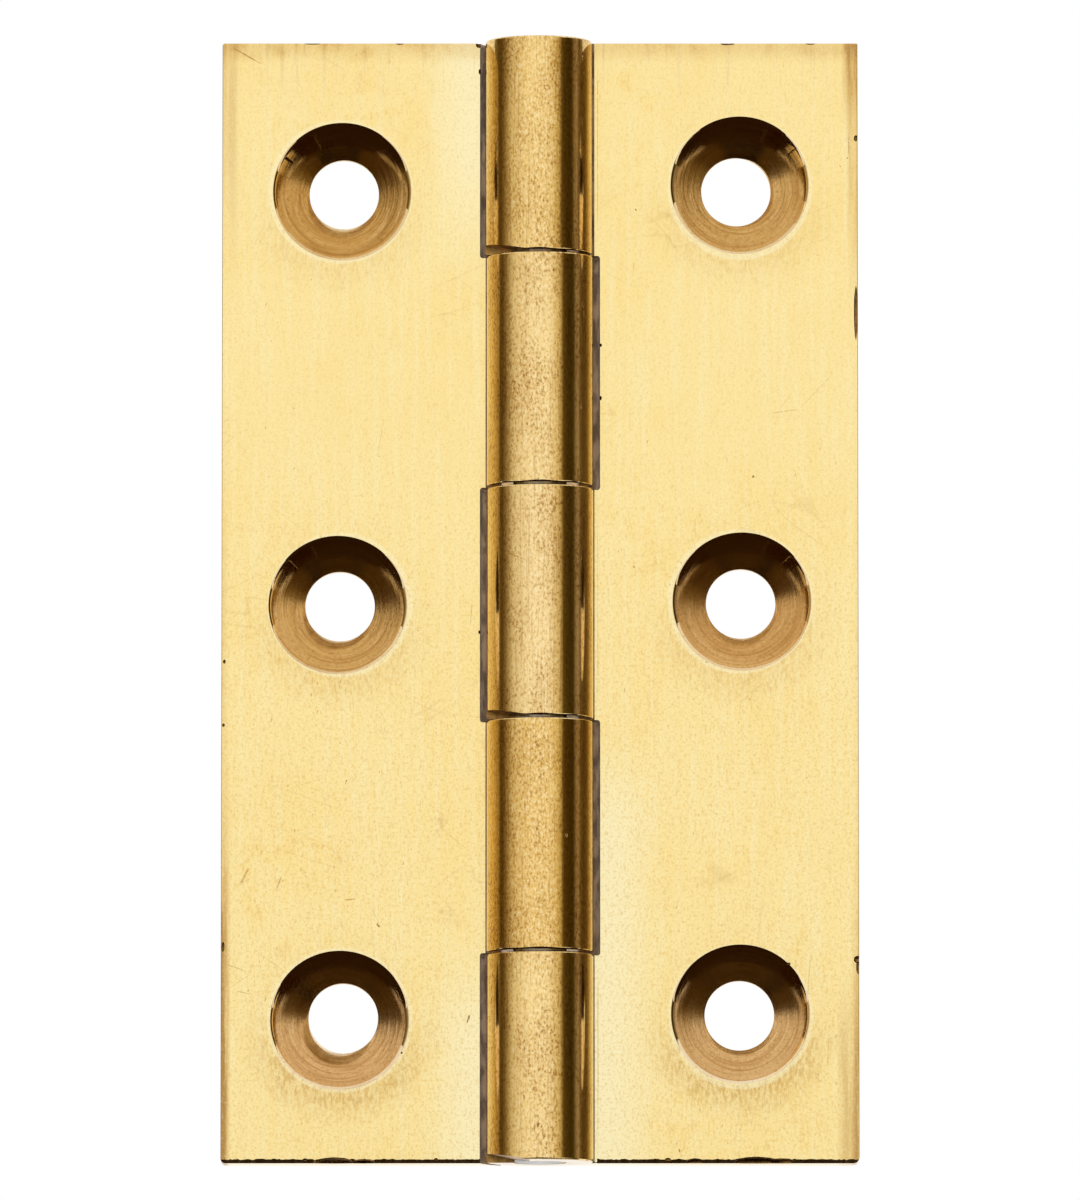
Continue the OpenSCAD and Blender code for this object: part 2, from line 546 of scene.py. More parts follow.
def new_effect(name, output, **inputs):
    """Starts a shared effect, and gives its sheet, its inputs and the way to finish it."""
    group = bpy.data.node_groups.new(name, "ShaderNodeTree")
    for label, default in inputs.items():
        kind = "NodeSocketVector" if isinstance(default, tuple) else "NodeSocketFloat"
        socket = group.interface.new_socket(label, in_out="INPUT", socket_type=kind)
        socket.default_value = default
    group.interface.new_socket(output, in_out="OUTPUT", socket_type="NodeSocketFloat")
    sheet = Sheet(group)
    source = sheet.add("NodeGroupInput").outputs
    drain = sheet.add("NodeGroupOutput")
    return sheet, source, lambda value: sheet.feed(drain.inputs[0], value)


def from_nearest_hole(sheet, given):
    """How far a place on a leaf is up from the middle of its nearest screw hole, and away."""
    x, _, z = sheet.split(given["Place"])
    pitch = HOLE_PITCH / MM
    rows = sheet.math("DIVIDE", sheet.plus(z, given["Drop"]), pitch)
    up = sheet.times(sheet.minus(rows, sheet.math("ROUND", rows)), pitch)
    across = sheet.minus(sheet.size_of(x), MOUNTS["frame_screws"]["pos_m"][0] / MM)
    return up, sheet.vector_math("DISTANCE", sheet.vector(across, 0.0, up), (0, 0, 0))


def make_effects():
    """The effects that the finishes share. Places are in millimetres."""
    # Fine lines along Z, as a linishing belt leaves them
    sheet, given, finish = new_effect("brushing", "Height", Place=(0, 0, 0), Lines=6.0, Length=2.0)
    along = sheet.math("DIVIDE", 1.0, given["Length"])
    scale = sheet.vector(given["Lines"], given["Lines"], along)
    finish(sheet.noise(sheet.vector_math("MULTIPLY", given["Place"], scale), 3, 0.6))

    # Soft stains
    sheet, given, finish = new_effect(
        "stains", "Mask", Place=(0, 0, 0), Size=5.0, Nothing=0.45, Full=0.7
    )
    scale = sheet.math("DIVIDE", 1.0, given["Size"])
    place = sheet.vector_math("MULTIPLY", given["Place"], sheet.vector(scale, scale, scale))
    finish(sheet.fade(sheet.noise(place, 4, 0.6), given["Nothing"], given["Full"]))

    # Small round pits, in a share of the cells of a grid
    sheet, given, finish = new_effect(
        "pits", "Mask", Place=(0, 0, 0), Cells=1.0, Share=0.2, Size=0.2
    )
    scale = sheet.vector(given["Cells"], given["Cells"], sheet.times(given["Cells"], 0.7))
    place = sheet.vector_math("MULTIPLY", given["Place"], scale)
    wander = sheet.noise(sheet.vector_math("MULTIPLY", place, (3, 3, 3)), 2, 0.5)
    place = sheet.vector_math("ADD", place, sheet.vector(sheet.times(wander, 0.4), 0.0, wander))
    cell = sheet.add("ShaderNodeTexVoronoi", {"Vector": place, "Scale": 1.0})
    draw = sheet.add("ShaderNodeSeparateColor", {0: cell.outputs["Color"]}).outputs
    radius = sheet.times(given["Size"], sheet.spread(draw["Green"], 0.35, 1))
    inside = sheet.fade(cell.outputs["Distance"], radius, sheet.times(radius, 0.35))
    finish(sheet.times(inside, sheet.math("LESS_THAN", draw["Red"], given["Share"])))

    # Hairlines in one direction, thin and nearly straight, with gaps where a noise is low
    sheet, given, finish = new_effect(
        "hairlines", "Mask", Place=(0, 0, 0), Turn=(0, 0, 0), Spacing=0.5, Length=9.0, Gaps=0.5
    )
    turned = sheet.add("ShaderNodeMapping", {"Vector": given["Place"], "Rotation": given["Turn"]})
    across = sheet.math("DIVIDE", 1.0, given["Spacing"])
    scale = sheet.vector(sheet.math("DIVIDE", 1.0, given["Length"]), 1.0, across)
    lines = sheet.noise(sheet.vector_math("MULTIPLY", turned.outputs[0], scale), 0, 0.5)
    line = sheet.fade(sheet.size_of(sheet.minus(lines, 0.5)), 0.014, 0.003)
    finish(sheet.times(line, sheet.fade(given["Gaps"], 0.52, 0.66)))

    # One scratch, which a noise bends a little, with ends that run out
    sheet, given, finish = new_effect(
        "scratch", "Mask", Place=(0, 0, 0), Centre=(0, 0, 0), Turn=(0, 0, 0), Length=2.0,
        Width=0.05, Waver=0.5,
    )
    place = sheet.vector_math("SUBTRACT", given["Place"], given["Centre"])
    turned = sheet.add("ShaderNodeMapping", {"Vector": place, "Rotation": given["Turn"]})
    x, _, z = sheet.split(turned.outputs[0])
    bend = sheet.times(sheet.minus(given["Waver"], 0.5), given["Width"], 2)
    off = sheet.size_of(sheet.plus(z, bend))
    line = sheet.fade(off, given["Width"], sheet.times(given["Width"], 0.2))
    half = sheet.times(given["Length"], 0.5)
    ends = sheet.fade(sheet.size_of(x), half, sheet.times(half, 0.55))
    finish(sheet.times(line, ends, sheet.fade(given["Waver"], 0.3, 0.5)))

    # An even grain
    sheet, given, finish = new_effect("mottle", "Height", Place=(0, 0, 0), Grain=5.0)
    scale = sheet.vector(given["Grain"], given["Grain"], sheet.times(given["Grain"], 0.85))
    finish(sheet.noise(sheet.vector_math("MULTIPLY", given["Place"], scale), 3, 0.65))

    # The ground round one place, densest at its middle
    sheet, given, finish = new_effect("spot", "Mask", Place=(0, 0, 0), Centre=(0, 0, 0), Reach=5.0)
    away = sheet.vector_math("DISTANCE", given["Place"], given["Centre"])
    finish(sheet.fade(away, given["Reach"], sheet.times(given["Reach"], 0.2)))

    # Tarnish down the outer edge of a leaf, between two heights
    sheet, given, finish = new_effect(
        "edge_tarnish", "Mask", Place=(0, 0, 0), Streaks=0.5, Nothing=0.0, Full=1.0, Width=0.5
    )
    x, _, z = sheet.split(given["Place"])
    inner = sheet.minus(LEAF_W / MM, given["Width"])
    band = sheet.fade(sheet.size_of(x), sheet.minus(inner, 0.3), sheet.plus(inner, 0.2))
    band = sheet.times(band, sheet.fade(z, given["Nothing"], given["Full"]))
    finish(sheet.times(band, sheet.spread(sheet.fade(given["Streaks"], 0.35, 0.6), 0.45, 1)))

    # Tarnish under the top edge, with drips
    sheet, given, finish = new_effect(
        "top_tarnish", "Mask", Place=(0, 0, 0), Streaks=0.5, Cloud=0.5
    )
    z = sheet.split(given["Place"])[2]
    top = sheet.times(sheet.fade(z, 36.4, 37.9), sheet.spread(given["Cloud"], 0.45, 1))
    drips = sheet.times(sheet.fade(z, 32.5, 37.5), sheet.fade(given["Streaks"], 0.52, 0.7), 0.4)
    finish(sheet.plus(top, drips))

    # What ran out of the countersinks, mostly below them and most of all from the lowest
    sheet, given, finish = new_effect("runs", "Mask", Place=(0, 0, 0), Streaks=0.5, Drop=0.0)
    up, away = from_nearest_hole(sheet, given)
    below = sheet.fade(sheet.math("DIVIDE", up, away), 0.25, -0.8)
    run = sheet.times(sheet.fade(away, 7.6, 4.8), sheet.spread(below, 0.12, 1))
    run = sheet.times(run, sheet.spread(sheet.fade(given["Streaks"], 0.42, 0.62), 0.35, 1))
    low = sheet.fade(sheet.split(given["Place"])[2], 4, -24)
    finish(sheet.times(run, sheet.spread(low, 0.4, 1)))

    # A pale ring round the rim of each countersink: a painted highlight
    sheet, given, finish = new_effect("sink_rim_highlight", "Mask", Place=(0, 0, 0), Drop=0.0)
    finish(sheet.fade(from_nearest_hole(sheet, given)[1], 4.98, 4.82))

    # Lines round one centre, as a turning tool leaves them
    sheet, given, finish = new_effect(
        "rings", "Height", Place=(0, 0, 0), Centre=(0, 0, 0), Lines=6.0
    )
    off = sheet.vector_math("SUBTRACT", given["Place"], given["Centre"])
    x, _, z = sheet.split(off)
    away = sheet.vector_math("DISTANCE", sheet.vector(x, 0.0, z), (0, 0, 0))
    turned = sheet.vector(
        sheet.times(away, given["Lines"]),
        sheet.times(sheet.math("DIVIDE", x, away), 0.6),
        sheet.times(sheet.math("DIVIDE", z, away), 0.6),
    )
    shift = sheet.vector_math("MULTIPLY", given["Centre"], (3, 3, 7))
    finish(sheet.noise(sheet.vector_math("ADD", turned, shift), 3, 0.6))


def metal(name, roughness, anisotropy):
    """A bare metal, its sheet, its shader and the place in millimetres on the piece."""
    material = bpy.data.materials.new(name)
    material.use_nodes = True
    sheet = Sheet(material.node_tree)
    shader = material.node_tree.nodes["Principled BSDF"]
    shader.inputs["Metallic"].default_value = 1
    shader.inputs["Roughness"].default_value = roughness
    shader.inputs["Anisotropic"].default_value = anisotropy
    spot = sheet.add("ShaderNodeTexCoord").outputs["Object"]
    return material, sheet, shader, sheet.vector_math("MULTIPLY", spot, (1 / MM, 1 / MM, 1 / MM))


def blur_along(sheet, shader, direction):
    """Spreads the reflections along a direction on the piece."""
    turned = sheet.add(
        "ShaderNodeVectorTransform", {0: direction},
        vector_type="VECTOR", convert_from="OBJECT", convert_to="WORLD",
    )
    sheet.feed(shader.inputs["Tangent"], turned.outputs[0])


def relief(sheet, shader, height, strength=1.0):
    """Raises a surface by a height in millimetres."""
    bump = sheet.add("ShaderNodeBump", {"Height": height, "Distance": MM, "Strength": strength})
    sheet.feed(shader.inputs["Normal"], bump.outputs[0])


BRIGHT = seen(255, 231, 161)
PALE = seen(255, 241, 190)
WARM = seen(254, 222, 140)
TAN = seen(222, 180, 106)
BROWN = seen(172, 120, 52)
PIT = seen(110, 72, 27)


def leaf_face(name, side, drop, stains, side_bands, pale_bands, pitted, scratches):
    """The linished face of a leaf, with the tarnish, pits and scratches that it has gathered."""
    material, sheet, shader, place = metal(name, 0.2, 0.6)
    x, _, z = sheet.split(place)
    lines = sheet.effect("brushing", Place=place, Lines=6.5, Length=0.45)
    long_lines = sheet.effect("brushing", Place=place, Lines=2.2, Length=9)
    cloud = sheet.effect("mottle", Place=place, Grain=0.12)
    small_cloud = sheet.effect("stains", Place=place, Size=1.6, Nothing=0.45, Full=0.75)

    tone = sheet.tint(BRIGHT, sheet.times(sheet.fade(cloud, 0.42, 0.68), 0.45), WARM)
    # Paler bands near the barrel between given heights, partly the brass's own tone and partly
    # painted reflection
    near_barrel = sheet.fade(sheet.size_of(x), 8.8, 4.4)
    for nothing, full in pale_bands:
        tone = sheet.tint(tone, sheet.times(near_barrel, sheet.fade(z, nothing, full)), PALE)
    tone = sheet.tint(tone, sheet.times(sheet.fade(long_lines, 0.45, 0.7), 0.35), PALE)
    for across, up, reach, strength in stains:
        spot = sheet.effect("spot", Place=place, Centre=(across, FACE_Y / MM, up), Reach=reach)
        spot = sheet.times(spot, small_cloud, strength)
        tone = sheet.tint(tone, spot, WARM)
        tone = sheet.tint(tone, sheet.times(spot, sheet.fade(lines, 0.5, 0.66), 0.5), TAN)

    # Tarnish along the top, and down the outer edge
    tarnish = sheet.effect("top_tarnish", Place=place, Streaks=long_lines, Cloud=small_cloud)
    for nothing, full, width, strength in side_bands:
        band = sheet.effect(
            "edge_tarnish", Place=place, Streaks=long_lines, Nothing=nothing, Full=full, Width=width
        )
        tarnish = sheet.plus(tarnish, sheet.times(band, strength))
    tone = sheet.tint(tone, sheet.times(sheet.math("MINIMUM", tarnish, 1.0), 0.85), TAN)
    tone = sheet.tint(tone, sheet.times(sheet.fade(tarnish, 0.9, 1.7), 0.6), BROWN)

    halo = sheet.effect("runs", Place=place, Streaks=lines, Drop=drop)
    tone = sheet.tint(tone, sheet.times(halo, 0.8), TAN)
    # A pale ring round each countersink's rim, a painted highlight
    rim_highlight = sheet.effect("sink_rim_highlight", Place=place, Drop=drop)
    tone = sheet.tint(tone, sheet.times(rim_highlight, 0.7), PALE)

    # The grain of the belt, and fine mottling, both stronger towards the foot
    worn_off = sheet.spread(sheet.fade(z, 14, -6), 0.55, 1)
    mottle = sheet.effect("mottle", Place=place, Grain=5.5)
    for height, nothing, full, strength, colour in (
        (lines, 0.52, 0.74, 0.35, TAN), (lines, 0.48, 0.3, 0.2, PALE),
        (mottle, 0.5, 0.68, 0.55, seen(231, 194, 116)), (mottle, 0.48, 0.3, 0.4, PALE),
    ):
        share = sheet.times(sheet.fade(height, nothing, full), strength, worn_off)
        tone = sheet.tint(tone, share, colour)

    pit_share = 0.02
    for across, up, reach, share in pitted:
        spot = sheet.effect("spot", Place=place, Centre=(across, FACE_Y / MM, up), Reach=reach)
        pit_share = sheet.plus(pit_share, sheet.times(spot, share))
    fine_pits = sheet.effect("pits", Place=place, Cells=2.6, Share=pit_share, Size=0.3)
    pits = sheet.effect("pits", Place=place, Cells=0.62, Share=0.3, Size=0.085)
    drawn_out = sheet.vector_math("MULTIPLY", place, (1, 1, 0.22))
    streaks = sheet.effect("pits", Place=drawn_out, Cells=1.1, Share=0.16, Size=0.09)
    tone = sheet.tint(tone, sheet.times(fine_pits, 0.5), BROWN)
    tone = sheet.tint(tone, sheet.times(streaks, 0.4), BROWN)
    tone = sheet.tint(tone, sheet.times(pits, 0.75), PIT)

    # Scratches, first the hairlines and then those that can be told apart
    marks = 0.0
    for angle, spacing in ((0.4, 1.6), (-0.6, 2.1)):
        hair = sheet.effect(
            "hairlines", Place=place, Turn=(0, side * angle, 0), Spacing=spacing, Gaps=cloud
        )
        marks = sheet.plus(marks, sheet.times(hair, 0.12))
    for across, up, degrees, length, width, strength in scratches:
        mark = sheet.effect(
            "scratch", Place=place, Centre=(across, FACE_Y / MM, up),
            Turn=(0, math.radians(degrees), 0), Length=length, Width=width, Waver=mottle,
        )
        marks = sheet.plus(marks, sheet.times(mark, strength))
    tone = sheet.tint(tone, sheet.math("MINIMUM", marks, 1.0), BROWN)
    sheet.feed(shader.inputs["Base Color"], tone)

    rough = sheet.plus(0.17, sheet.times(tarnish, 0.1), sheet.times(halo, 0.08))
    rough = sheet.plus(rough, sheet.times(mottle, 0.08))
    sheet.feed(shader.inputs["Roughness"], rough)
    relief(sheet, shader, sheet.plus(sheet.times(lines, 0.0012), sheet.times(pits, -0.02)))
    blur_along(sheet, shader, (1, 0, 0))
    return material


def barrel_brass():
    """The knuckles, drawn and brushed along, with each its own tone and many small pits."""
    material, sheet, shader, place = metal("barrel_brass", 0.16, 0.5)
    x, y, z = sheet.split(place)
    tones = sheet.add("ShaderNodeValToRGB")
    height = 2 * HALF_H / MM
    sheet.feed(tones.inputs[0], sheet.math("DIVIDE", sheet.minus(HALF_H / MM, z), height))
    ramp = tones.color_ramp
    ramp.interpolation = "CONSTANT"
    by_knuckle = [
        (245, 209, 132), (249, 217, 148), (250, 219, 154), (243, 204, 124), (249, 217, 146)
    ]
    for k, colour in enumerate(by_knuckle):
        stop = ramp.elements[k] if k < 2 else ramp.elements.new(1)
        stop.position = (HALF_H - joint_z(k)) / (2 * HALF_H)
        stop.color = seen(*colour)
    tone = tones.outputs["Color"]

    stretched = sheet.vector_math("MULTIPLY", place, (1, 1, 0.45))
    cover = sheet.effect("stains", Place=stretched, Size=3.2, Nothing=0.38, Full=0.66)
    speckle = sheet.noise(sheet.vector_math("MULTIPLY", place, (6.2, 6.2, 3.8)), 4, 0.7)
    lines = sheet.effect("brushing", Place=place, Lines=7, Length=6)
    dark = sheet.times(sheet.fade(speckle, 0.5, 0.64), sheet.spread(cover, 0.45, 1))
    tone = sheet.tint(tone, sheet.times(cover, 0.4), seen(208, 162, 88))
    tone = sheet.tint(tone, sheet.times(dark, 0.9), seen(160, 110, 48))
    tone = sheet.tint(tone, sheet.times(sheet.fade(speckle, 0.49, 0.36), 0.7), seen(255, 236, 188))
    tone = sheet.tint(tone, sheet.times(sheet.fade(lines, 0.52, 0.72), 0.4), seen(160, 112, 50))
    fine_pits = sheet.effect("pits", Place=place, Cells=3, Share=0.3, Size=0.33)
    pits = sheet.effect("pits", Place=place, Cells=1, Share=0.16, Size=0.16)
    tone = sheet.tint(tone, sheet.times(fine_pits, 0.6), BROWN)
    tone = sheet.tint(tone, sheet.times(pits, 0.8), PIT)
    marks = 0.0
    flat = sheet.vector(x, 0.0, z)
    for across, up, degrees, length, width in (
        (-1.55, 2.65, -24, 1.5, 0.05), (-1.4, -2.2, -18, 0.9, 0.04), (1.2, 33, 40, 0.8, 0.04),
        (-0.2, -35.6, 58, 1.1, 0.05), (0.6, -33.2, -40, 0.7, 0.04), (0.3, 11.4, 65, 0.9, 0.04),
    ):
        mark = sheet.effect(
            "scratch", Place=flat, Centre=(across, 0, up), Turn=(0, math.radians(degrees), 0),
            Length=length, Width=width, Waver=speckle,
        )
        marks = sheet.plus(marks, mark)
    marks = sheet.times(marks, sheet.fade(y, 0, -1))
    tone = sheet.tint(tone, sheet.times(marks, 0.7), BROWN)
    sheet.feed(shader.inputs["Base Color"], tone)

    rough = sheet.plus(0.09, sheet.times(dark, 0.06), sheet.times(cover, 0.03))
    sheet.feed(shader.inputs["Roughness"], rough)
    height = sheet.plus(sheet.times(lines, 0.0014), sheet.times(pits, -0.02))
    relief(sheet, shader, height)
    blur_along(sheet, shader, sheet.vector(sheet.times(y, -1), x, 0.0))
    return material


def countersink(name, centre, shade):
    """The turned wall of one countersink, with its rings about its own centre."""
    material, sheet, shader, place = metal(name, 0.1, 0.6)
    rings = sheet.effect("rings", Place=place, Centre=centre, Lines=7)
    broad = sheet.effect("rings", Place=place, Centre=centre, Lines=2.2)
    mottle = sheet.effect("mottle", Place=place, Grain=5)
    tone = seen(*shade)
    for height, nothing, full, strength, colour in (
        (rings, 0.5, 0.66, 0.6, (196, 158, 104)), (broad, 0.45, 0.65, 0.25, (214, 178, 124)),
        (rings, 0.46, 0.3, 0.6, (252, 234, 200)), (mottle, 0.52, 0.68, 0.45, (186, 142, 84)),
    ):
        share = sheet.times(sheet.fade(height, nothing, full), strength)
        tone = sheet.tint(tone, share, seen(*colour))
    specks = sheet.effect("pits", Place=place, Cells=2.2, Share=0.14, Size=0.18)
    tone = sheet.tint(tone, sheet.times(specks, 0.6), BROWN)
    sheet.feed(shader.inputs["Base Color"], tone)
    sheet.feed(shader.inputs["Roughness"], sheet.plus(0.035, sheet.times(mottle, 0.05)))
    height = sheet.plus(sheet.times(rings, 0.0018), sheet.times(broad, 0.0012))
    relief(sheet, shader, sheet.plus(height, sheet.times(mottle, 0.0004)))
    x, _, z = sheet.split(sheet.vector_math("SUBTRACT", place, centre))
    blur_along(sheet, shader, sheet.vector(x, 0.0, z))
    return material


def machined(name, tone, dark, roughness, lines, length):
    """A wall that a cutter or a saw left, duller than the faces."""
    material, sheet, shader, place = metal(name, roughness, 0.3)
    grain = sheet.effect("brushing", Place=place, Lines=lines, Length=length)
    stain = sheet.effect("stains", Place=place, Size=1.4, Nothing=0.4, Full=0.65)
    colour = sheet.tint(seen(*tone), sheet.times(stain, 0.6), seen(*dark))
    colour = sheet.tint(colour, sheet.times(sheet.fade(grain, 0.45, 0.7), 0.6), seen(*dark))
    sheet.feed(shader.inputs["Base Color"], colour)
    rough = sheet.plus(roughness - 0.05, sheet.times(stain, 0.15))
    sheet.feed(shader.inputs["Roughness"], rough)
    relief(sheet, shader, sheet.plus(sheet.times(grain, 0.006), sheet.times(stain, 0.004)))
    blur_along(sheet, shader, (1, 0, 0))
    return material


def pin_wire():
    """Drawn wire with linished ends."""
    material, sheet, shader, place = metal("pin_wire", 0.3, 0.5)
    x, y, _ = sheet.split(place)
    grain = sheet.effect("brushing", Place=place, Lines=8, Length=9)
    hair = sheet.effect(
        "hairlines", Place=place, Turn=(0, 0, 0.5), Spacing=0.3, Length=6, Gaps=1
    )
    colour = sheet.tint(seen(190, 188, 184), sheet.times(grain, 0.6), seen(146, 143, 138))
    colour = sheet.tint(colour, sheet.times(hair, 0.5), seen(96, 92, 86))
    sheet.feed(shader.inputs["Base Color"], colour)
    sheet.feed(shader.inputs["Roughness"], sheet.spread(grain, 0.24, 0.4))
    relief(sheet, shader, sheet.times(grain, 0.004))
    blur_along(sheet, shader, sheet.vector(sheet.times(y, -1), x, 0.0))
    return material


def countersinks(screws, offsets, shades):
    """The finishes of a leaf's countersinks, from the top down."""
    made = []
    middle = Vector(MOUNTS[screws]["pos_m"]) / MM
    for row, (across, up), (spot, shade) in zip((1, 0, -1), offsets, shades):
        centre = (middle.x + across, FACE_Y / MM, middle.z + row * HOLE_PITCH / MM + up)
        made.append(countersink(f"countersink_{spot}", centre, shade))
    return made


make_effects()
SHARED_FINISHES = {
    "barrel": barrel_brass(),
    # The slot walls' dark grey-brown is painted shade where the barrel shades them; the creases
    # wear it too
    "slot": machined("slot_wall_painted_shade", (152, 122, 86), (92, 68, 44), 0.35, 5, 4),
    "end": machined("filed_flat", (190, 148, 84), (112, 76, 34), 0.35, 3, 0.5),
    "torn": machined("torn_edge", (150, 112, 60), (70, 48, 22), 0.4, 4, 0.4),
    "bore": machined("drilled_wall", (252, 226, 172), (206, 166, 110), 0.55, 7, 0.4),
}
DOOR_DROP = (MOUNTS["frame_screws"]["pos_m"][2] - MOUNTS["door_screws"]["pos_m"][2]) / MM
FRAME_FINISHES = SHARED_FINISHES | {
    "face": leaf_face(
        "frame_leaf_face", 1, 0,
        stains=[(6, 34, 7, 0.8), (13, -36, 8, 0.9), (17, -26, 6, 0.6), (8, 4, 9, 0.5)],
        side_bands=[
            (-24, -33, 1.3, 0.75), (18, 31, 0.55, 0.9), (31, 37, 0.9, 0.9), (-16, -24, 0.4, 0.5),
            (38, -38, 0.2, 0.3),
        ],
        pale_bands=[(-8, -16)],
        pitted=[(19.5, 9.5, 4, 0.3), (12, -33, 8, 0.25), (8, -10, 9, 0.12)],
        scratches=[
            (16.5, 12.9, 8, 2.2, 0.05, 0.35), (18.7, 14.3, 46, 3.4, 0.04, 0.3),
            (16.6, 13.6, 52, 1.7, 0.04, 0.25), (3.9, 30.8, 90, 13, 0.035, 0.5),
            (3.9, -0.2, 90, 15, 0.03, 0.4), (3.9, -31, 90, 13, 0.035, 0.6),
            (20.9, 31, 90, 1.4, 0.05, 0.6), (18.1, -25.5, 86, 3.2, 0.05, 0.4),
            (19.4, -30.5, 88, 2.6, 0.05, 0.35),
        ],
    ),
    # The lower countersinks are given paler shades, partly painted light that the lower holes catch
    "sinks": countersinks("frame_screws", FRAME_SINKS, [
        ("top_right", (234, 208, 160)), ("middle_right", (233, 205, 160)),
        ("bottom_right", (238, 214, 176)),
    ]),
}
DOOR_FINISHES = SHARED_FINISHES | {
    "face": leaf_face(
        "door_leaf_face", -1, DOOR_DROP,
        stains=[(-17.3, -18.5, 8, 1), (-13, 35, 8, 0.7), (-12, -32, 9, 0.6), (-16, -4, 7, 0.6)],
        side_bands=[
            (18, 34, 0.95, 0.6), (-9, -22, 0.45, 1), (-16, -34, 0.4, 0.7), (20, -10, 0.3, 0.5),
        ],
        pale_bands=[(20, 32), (-22, -30)],
        pitted=[(-14.5, -17.5, 8, 0.55), (-12, -8, 9, 0.25), (-18, -26, 6, 0.2)],
        scratches=[
            (-19.8, 37.1, -29, 2.5, 0.05, 0.6), (-20.1, 37.3, -31, 2.1, 0.04, 0.45),
            (-12.8, -20.2, 5, 0.9, 0.07, 0.7), (-11.1, -21.3, -62, 1.9, 0.03, 0.4),
            (-10.9, -21.95, -50, 0.4, 0.09, 1), (-19.9, -18.6, 64, 1.5, 0.1, 0.6),
            (-17.6, -19.1, 70, 1.1, 0.09, 0.5), (-20.5, -24.8, -20, 1.6, 0.05, 0.5),
            (-19.9, -26.5, -12, 1.2, 0.04, 0.5), (-20.2, -25.7, 34, 1.8, 0.03, 0.35),
            (-10.8, 11, 80, 3, 0.03, 0.3), (-18, -24.5, -35, 3.5, 0.03, 0.3),
        ],
    ),
    # The lower countersinks are given paler shades, partly painted light that the lower holes catch
    "sinks": countersinks("door_screws", DOOR_SINKS, [
        ("top_left", (232, 204, 152)), ("middle_left", (235, 209, 162)),
        ("bottom_left", (239, 214, 176)),
    ]),
}

frame_leaf = make_leaf(
    "frame_leaf_brass", 1, 0, FRAME_CORNERS, "frame_screws",
    FRAME_SINKS, FRAME_BORES, PIN_R - PIN_GRIP, FRAME_DENTS, FRAME_FINISHES,
)
door_leaf = make_leaf(
    "door_leaf_brass", -1, 1, DOOR_CORNERS, "door_screws",
    DOOR_SINKS, DOOR_BORES, PIN_R + PIN_ROOM, DOOR_DENTS, DOOR_FINISHES,
)
pin = make_pin(pin_wire())
for piece, body, node in (
    (frame_leaf, "frame_side", "frame_leaf"),
    (door_leaf, "door_side", "door_leaf"),
    (pin, "frame_side", "hinge_pin"),
):
    smooth(piece)
    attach(piece, body)
    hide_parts(node)


# The studio
CAMERA_AWAY = 1.1
CAMERA_BELOW = 5.8
FRAME_TALL = 81.0 * MM
AIM = Vector((0, FACE_Y, 0.085 * MM))
FLOOR_SIZE = 4
# How far the floor lies under the foot of the hinge
FLOOR_BELOW = 0.2 * MM
# The dark table that the countersinks reflect. The camera looks through it
TABLE_Z = -0.1006
TABLE_R = 1.2
TABLE_HALF_W = 0.13
# The wider shelf of it under the hinge, from front to back
SHELF_HALF_W = 0.7
SHELF_FRONT = -0.12
SHELF_BACK = 0.02
# The table's tones from under the hinge outwards, with a patch and the far end
TABLE_NEAR = (0.024, 0.009, 0.0015, 1)
TABLE_BROWN = (0.07, 0.039, 0.004, 1)
TABLE_BLACK = (0.006, 0.0008, 0.001, 1)
TABLE_WOOD = (0.17, 0.12, 0.028, 1)
# The strip of card at the sides, and the tones on it by azimuth, 90 being to the right
SURROUND_R = 0.7
SURROUND_TOP = 0.3
SURROUND_FROM = 18
SURROUND_TO = 112
ROOM = [
    (-112, (0.3, 0.24, 0.12)), (-100, (0.12, 0.075, 0.02)), (-89, (0.09, 0.055, 0.012)),
    (-80, (0.22, 0.15, 0.06)), (-71, (0.42, 0.34, 0.2)), (-60, (0.7, 0.64, 0.5)),
    (-40, (0.88, 0.84, 0.76)), (-18, (1, 1, 1)), (18, (1, 1, 1)), (30, (0.86, 0.8, 0.66)),
    (40, (0.7, 0.61, 0.4)), (46, (0.5, 0.4, 0.2)), (51, (0.1, 0.06, 0.012)),
    (60, (0.07, 0.042, 0.006)), (70, (0.045, 0.028, 0.004)), (78, (0.06, 0.04, 0.008)),
    (84, (0.24, 0.18, 0.1)), (92, (0.32, 0.24, 0.15)), (98, (0.12, 0.08, 0.04)),
    (112, (0.3, 0.22, 0.12)),
]


def add_camera():
    """The camera, a little below the hinge and a long way off."""
    data = bpy.data.cameras.new("camera")
    data.sensor_width = 36
    data.lens = data.sensor_width * CAMERA_AWAY / FRAME_TALL
    camera = bpy.data.objects.new("camera", data)
    bpy.context.collection.objects.link(camera)
    tilt = math.radians(CAMERA_BELOW)
    camera.location = AIM + Vector((0, -math.cos(tilt), -math.sin(tilt))) * CAMERA_AWAY
    camera.rotation_euler = (math.radians(90) + tilt, 0, 0)
    data.clip_start, data.clip_end = 0.05, 10
    bpy.context.scene.camera = camera


def glowing(name, colour):
    """The surface of a card that shows only in the metal, and its sheet and glow."""
    material = bpy.data.materials.new(name)
    material.use_nodes = True
    material.node_tree.nodes.clear()
    sheet = Sheet(material.node_tree)
    glow = sheet.add("ShaderNodeEmission", {"Color": (*colour, 1), "Strength": 1.0})
    sheet.add("ShaderNodeOutputMaterial", {"Surface": glow.outputs[0]})
    return material, sheet, glow


def only_in_the_metal(piece, finish):
    """Gives a card its finish, and hides it from all but the metal's reflections."""
    worn(piece, finish)
    piece.visible_camera = False
    piece.visible_diffuse = False
    piece.visible_shadow = False
    piece.visible_transmission = False
    piece.visible_volume_scatter = False


